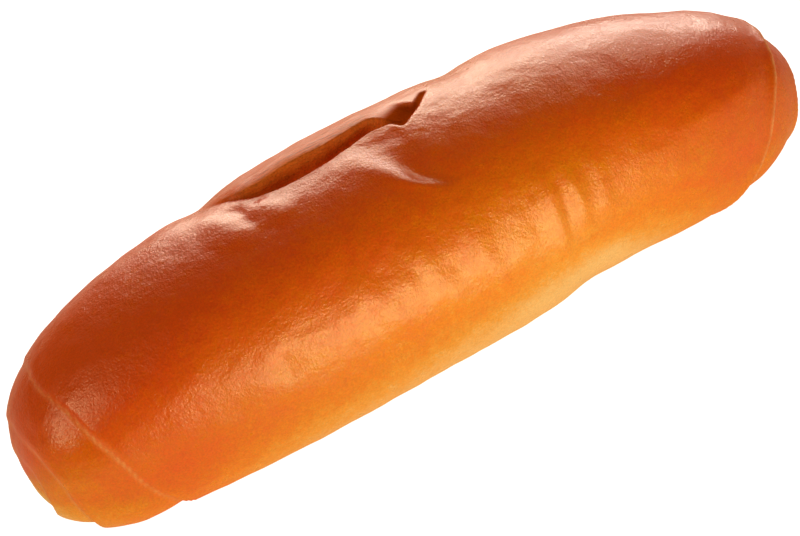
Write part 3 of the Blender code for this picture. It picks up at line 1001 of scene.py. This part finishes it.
@dataclass
class Bun:
    """The whole bun: one closed crust."""

    body: str = "root"
    node: str = "bun"
    material_slot: str = "crust"
    segments: int = 300
    rings: int = 300
    # the rings are closer together near the tips and by the cleft
    end_crowding: float = 0.7
    end_reach: float = 34.0 * MM
    end_blend: float = 10.0 * MM
    cleft_crowding: float = 1.1
    cleft_place: float = -8.0 * MM
    cleft_reach: float = 30.0 * MM
    cleft_blend: float = 8.0 * MM
    # and the segments about the cleft's angle
    top_crowding: float = 2.4
    top_angle: float = 100.0
    top_spread: float = 13.0
    pole_calm: float = 5.0 * MM        # relief fades out this close to a tip
    rise_size: float = 9.0 * MM        # the crust's uneven rise
    rise_height: float = 0.16 * MM
    rise_seed: float = 3.0
    ripple_size: float = 3.6 * MM
    ripple_height: float = 0.05 * MM
    ripple_seed: float = 11.0
    lip_pale: float = 0.25             # how much pale skin the cleft's back lip has, partly a painted highlight
    # how brown the crust is, at angles in degrees above its side
    bake_curve: tuple[Pair, ...] = (
        (-90.0, 0.50), (-62.0, 0.40), (-45.0, 0.02), (-30.0, 0.06), (-20.0, 0.13), (-10.0, 0.24),
        (0.0, 0.32), (10.0, 0.32), (20.0, 0.36), (30.0, 0.45), (40.0, 0.57), (60.0, 0.80), (90.0, 0.95))
    # paler patches, as swells of the bake
    patches: tuple[Swell, ...] = (Swell(22.0 * MM, -18.0, 24.0 * MM, 22.0, -0.07),)
    # how much browner it is towards the two ends, at places along X
    end_bake: tuple[Pair, ...] = (
        (-80.0 * MM, 0.02), (-66.0 * MM, 0.30), (-56.0 * MM, 0.35), (-48.0 * MM, 0.20),
        (-38.0 * MM, 0.09), (-20.0 * MM, 0.05), (5.0 * MM, -0.02), (28.0 * MM, -0.05),
        (40.0 * MM, 0.08), (60.0 * MM, 0.30), (80.0 * MM, 0.30))
    loaf: Loaf = field(default_factory=Loaf)
    cleft: Cleft = field(default_factory=Cleft)
    valley: Valley = field(default_factory=Valley)
    crust: BakedCrust = field(default_factory=BakedCrust)

    @staticmethod
    def spread_by(weight: Array, positions: Array, shares: Array) -> Array:
        """Find where the running total of a weight reaches some shares of it.

        Args:
            weight: The weight at each position.
            positions: The positions, in order.
            shares: The shares wanted.

        Returns:
            The position of each share.
        """
        pieces = 0.5 * (weight[1:] + weight[:-1]) * np.diff(positions)
        total = np.concatenate([[0.0], np.cumsum(pieces)])
        return np.interp(shares * total[-1], total, positions)

    def ring_arcs(self, arc_table: Array) -> Array:
        """Space the rings along the bun: closer at the ends and by the cleft.

        Args:
            arc_table: The arc lengths of the loaf's track.

        Returns:
            The arc length of each ring.
        """
        arcs = np.linspace(0.0, arc_table[-1], self.loaf.table_steps + 1)
        from_end = np.minimum(arcs, arc_table[-1] - arcs)
        from_cleft = np.abs(arcs - 0.5 * arc_table[-1] - self.cleft_place)
        weight = 1.0 + self.end_crowding * smooth((self.end_reach - from_end) / self.end_blend)
        weight += self.cleft_crowding * smooth((self.cleft_reach - from_cleft) / self.cleft_blend)
        return self.spread_by(weight, arcs, np.linspace(0.0, 1.0, self.rings + 1))

    def segment_angles(self) -> Array:
        """Space the segments around the bun, closest together at the cleft.

        Returns:
            Their angles in radians.
        """
        angles = np.linspace(-90.0, 270.0, self.loaf.table_steps + 1)
        weight = 1.0 + self.top_crowding * np.exp(-((angles - self.top_angle) / self.top_spread) ** 2)
        return np.radians(self.spread_by(weight, angles, np.arange(self.segments) / self.segments))

    def crust_points(self, arc: Array, angle: Array) -> tuple[Array, dict[Mask, Array]]:
        """Work out the finished crust.

        Args:
            arc: Arc lengths from the left tip.
            angle: Angles in radians.

        Returns:
            The points, one row each, and the masks of the bake.
        """
        share_table, arc_table = self.loaf.track()
        share = np.interp(arc, arc_table, share_table)
        x, degrees = 0.5 * self.loaf.length * share, np.degrees(angle)
        radius = self.loaf.girth_radius()
        calm = smooth(np.minimum(arc, arc_table[-1] - arc) / self.pole_calm)
        left_height, left_skin = LEFT_EDGES.read(arc, angle)
        right_height, right_skin_and_sheen = RIGHT_EDGES.read(arc_table[-1] - arc, angle)
        height = left_height + right_height
        cleft, lean, masks = self.cleft.read(x, degrees, radius)
        height += cleft
        for fold in FOLDS:
            shape = fold.shape(x, angle, radius)
            height += fold.height * shape
            # painted shade in the middle of the crease
            painted_shade = fold.painted_shade * smooth(fold.painted_shade_gain * shape)
            masks[Mask.FOLD_SHADE] = np.maximum(masks[Mask.FOLD_SHADE], painted_shade)
        for swell in SWELLS:
            height += swell.read(x, degrees)
        height += self.valley.read(x, degrees)
        plain = self.loaf.point(share, angle)
        height += self.rise_height * wander(plain, self.rise_size, self.rise_seed)
        height += self.ripple_height * wander(plain, self.ripple_size, self.ripple_seed)
        points = plain + (height * calm)[:, None] * self.loaf.normal(share, angle)
        points[:, 1] -= lean
        points[:, 2] = self.loaf.settle(points[:, 2])
        masks[Mask.BAKE] = self.bake_level(degrees, x)
        # pale skin, partly painted highlight on the right end's rim and the cleft's back lip
        pale = left_skin + right_skin_and_sheen + self.lip_pale * masks[Mask.LIP] * (1.0 - masks[Mask.WALL])
        masks[Mask.STRETCH] = np.clip(pale, 0.0, 1.0)
        return points, masks

    def bake_level(self, degrees: Array, x: Array) -> Array:
        """Work out how brown the crust is.

        Args:
            degrees: Angles in degrees.
            x: Places along the bun.

        Returns:
            From 0 on the pale flank to 1 on the darkest top.
        """
        side = 90.0 - np.abs(degrees - 90.0)
        level = curve_through(self.bake_curve, side) + curve_through(self.end_bake, x)
        for patch in self.patches:
            level = level + patch.read(x, degrees)
        return np.clip(level, 0.0, 1.0)

    def unroll(self, sphere: bmesh.types.BMesh) -> tuple[Array, Array]:
        """Find where each vertex of the starting sphere goes on the crust.

        Args:
            sphere: A unit sphere with the crust's rings and segments.

        Returns:
            The arc length and the angle of each vertex.
        """
        _, arc_table = self.loaf.track()
        rings, segments = self.ring_arcs(arc_table), self.segment_angles()
        places = np.array([vertex.co[:] for vertex in sphere.verts])
        ring = np.rint(np.arccos(np.clip(places[:, 2], -1.0, 1.0)) / np.pi * self.rings).astype(int)
        turn = np.arctan2(places[:, 1], places[:, 0]) / (2.0 * np.pi) * self.segments
        segment = np.rint(turn).astype(int) % self.segments
        return rings[ring], segments[segment]

    def build(self) -> bpy.types.Object:
        """Build the bun and return it.

        Returns:
            The finished object, with its place in its mesh.
        """
        shape = bmesh.new()
        bmesh.ops.create_uvsphere(shape, u_segments=self.segments, v_segments=self.rings, radius=1.0)
        points, masks = self.crust_points(*self.unroll(shape))
        for vertex, point in zip(shape.verts, self.fit_to_solid(points)):
            vertex.co = point
        if shape.calc_volume(signed=True) < 0.0:
            bmesh.ops.reverse_faces(shape, faces=shape.faces)
        mesh = bpy.data.meshes.new("crust_of_bun")
        shape.to_mesh(mesh)
        shape.free()
        mesh.shade_smooth()
        for mask, values in masks.items():
            layer = mesh.attributes.new(mask.value, "FLOAT", "POINT")
            layer.data.foreach_set("value", values.astype(np.float32))
        mesh.materials.append(self.crust.build())
        piece = bpy.data.objects.new("crust_of_bun", mesh)
        bpy.context.scene.collection.objects.link(piece)
        return piece

    def fit_to_solid(self, points: Array) -> Array:
        """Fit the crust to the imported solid's box.

        Args:
            points: Points of the crust.

        Returns:
            The points, stretched by a hair so that both boxes are the same.
        """
        low, high = (np.array(corner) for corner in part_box(self.node))
        own_low, own_high = points.min(axis=0), points.max(axis=0)
        return low + (points - own_low) * ((high - low) / (own_high - own_low))

    def dress(self, piece: bpy.types.Object) -> None:
        """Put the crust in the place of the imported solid.

        Args:
            piece: The finished object.
        """
        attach(piece, self.body)
        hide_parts(self.node)


# --------------------------------------------------------------------------------------------
# The studio
# --------------------------------------------------------------------------------------------

WARM = (1.0, 0.92, 0.80)
PALE = (1.0, 0.98, 0.95)


@dataclass(frozen=True)
class Softbox:
    """A soft area light that faces the bun."""

    name: str
    turn: float              # degrees around the bun: 0 in front of it, 90 at its right end
    rise: float              # degrees above the table
    size: Pair
    radiance: float
    colour: Triple
    distance: float = 1.2
    aim: Triple = (0.0, 0.0, 0.02)

    def build(self) -> bpy.types.Object:
        """Build the light and return it."""
        data = bpy.data.lights.new(self.name, "AREA")
        data.shape = "RECTANGLE"
        data.size, data.size_y = self.size
        data.energy = self.radiance * math.pi * self.size[0] * self.size[1]
        data.color = self.colour
        light = bpy.data.objects.new(self.name, data)
        turn, rise = math.radians(self.turn), math.radians(self.rise)
        away = Vector((math.sin(turn) * math.cos(rise), -math.cos(turn) * math.cos(rise), math.sin(rise)))
        place = Vector(self.aim) + away * self.distance
        light.matrix_world = Matrix.Translation(place) @ away.to_track_quat("Z", "Y").to_matrix().to_4x4()
        light.visible_camera = False
        bpy.context.scene.collection.objects.link(light)
        return light


@dataclass(frozen=True)
class PhotoCamera:
    """The camera of the photograph."""

    turn: float = 16.0                 # degrees that it stands round towards the left end
    rise: float = 40.0                 # degrees above the table
    roll: float = 28.5                 # degrees that the picture is turned
    distance: float = 522.9 * MM
    lens_pixels: float = 2916.0        # the focal length, in pixels of the photograph
    picture: tuple[int, int] = (800, 536)
    look_at: Triple = (0.0, 0.0, 20.3 * MM)
    look_at_pixel: Pair = (403.5, 227.9)
    sensor: float = 36.0

    def build(self) -> bpy.types.Object:
        """Build the camera, make it the scene's camera and return it."""
        turn, rise = math.radians(self.turn), math.radians(self.rise)
        away = Vector((-math.sin(turn), -math.cos(turn) * math.cos(rise), math.cos(turn) * math.sin(rise)))
        along = (Vector((1.0, 0.0, 0.0)) - away.x * away).normalized()
        over = away.cross(along)
        roll = math.radians(self.roll)
        right = math.cos(roll) * along - math.sin(roll) * over
        up = math.sin(roll) * along + math.cos(roll) * over
        place = Vector(self.look_at) + away * self.distance
        offset_x = (self.look_at_pixel[0] - 0.5 * self.picture[0]) / self.lens_pixels
        offset_y = (0.5 * self.picture[1] - self.look_at_pixel[1]) / self.lens_pixels
        back = (away + offset_x * right + offset_y * up).normalized()
        side = up.cross(back).normalized()
        top = back.cross(side)
        data = bpy.data.cameras.new("photo_camera")
        data.sensor_width = self.sensor
        data.lens = self.lens_pixels * self.sensor / self.picture[0]
        camera = bpy.data.objects.new("photo_camera", data)
        turned = Matrix((side, top, back)).transposed().to_4x4()
        camera.matrix_world = Matrix.Translation(place) @ turned
        bpy.context.scene.collection.objects.link(camera)
        bpy.context.scene.camera = camera
        return camera


@dataclass
class Studio:
    """The table, the lights and the room around them."""

    table_size: float = 4.0
    room_light: float = 0.12
    room_colour: Colour = (1.0, 0.74, 0.25, 1.0)
    table: PaleTable = field(default_factory=PaleTable)
    softboxes: tuple[Softbox, ...] = (
        Softbox("window_in_front", 6.0, 9.0, (0.24, 0.38), 7.2, WARM),
        Softbox("strip_in_front", 14.5, 2.0, (0.26, 0.10), 7.4, WARM),
        Softbox("fill_at_left", -78.0, 42.0, (0.60, 0.50), 2.2, WARM),
        Softbox("lamp_at_left", -88.0, 36.0, (0.34, 0.26), 4.4, WARM),
        # this one lies on the table and faces up
        Softbox("card_in_front", 0.0, -90.0, (0.08, 0.30), 3.7, WARM,
                distance=0.999, aim=(0.018, -0.22, 1.0)),
        Softbox("strip_behind", 137.0, 10.0, (0.50, 0.18), 11.0, PALE),
        Softbox("low_strip_behind", 166.0, 7.0, (0.44, 0.14), 9.0, WARM),
        Softbox("window_behind", 158.0, 25.0, (0.56, 0.52), 5.2, PALE),
        Softbox("window_at_right", 126.0, 37.0, (0.34, 0.20), 5.0, PALE),
    )

    def build_table(self) -> bpy.types.Object:
        """Build the table top and return it."""
        shape = bmesh.new()
        bmesh.ops.create_grid(shape, x_segments=1, y_segments=1, size=0.5 * self.table_size)
        mesh = bpy.data.meshes.new("table_top")
        shape.to_mesh(mesh)
        shape.free()
        mesh.materials.append(self.table.build())
        top = bpy.data.objects.new("table_top", mesh)
        bpy.context.scene.collection.objects.link(top)
        return top

    def build_room(self) -> None:
        """Light the bun evenly from the room, which the camera sees as white."""
        world = bpy.data.worlds.new("room")
        world.use_nodes = True
        nodes, links = world.node_tree.nodes, world.node_tree.links
        background = nodes["Background"]
        background.inputs["Color"].default_value = self.room_colour
        background.inputs["Strength"].default_value = self.room_light
        shown = nodes.new("ShaderNodeBackground")
        shown.inputs["Color"].default_value = WHITE
        path, mix = nodes.new("ShaderNodeLightPath"), nodes.new("ShaderNodeMixShader")
        links.new(path.outputs["Is Camera Ray"], mix.inputs[0])
        links.new(background.outputs[0], mix.inputs[1])
        links.new(shown.outputs[0], mix.inputs[2])
        links.new(mix.outputs[0], nodes["World Output"].inputs["Surface"])
        bpy.context.scene.world = world

    def build(self) -> None:
        """Build the whole studio."""
        self.build_room()
        self.build_table()
        for softbox in self.softboxes:
            softbox.build()


def main() -> None:
    """Build the camera, the bun and the studio."""
    logging.basicConfig(level=logging.INFO, format="%(name)s: %(message)s")
    bpy.context.scene.view_settings.view_transform = "Standard"
    camera = PhotoCamera().build()
    LOG.info("camera: %.0f mm lens", camera.data.lens)
    bun = Bun()
    crust = bun.build()
    bun.dress(crust)
    LOG.info("crust: %d faces", len(crust.data.polygons))
    studio = Studio()
    studio.build()
    LOG.info("studio: table and %d lights", len(studio.softboxes))


if __name__ == "__main__":
    main()
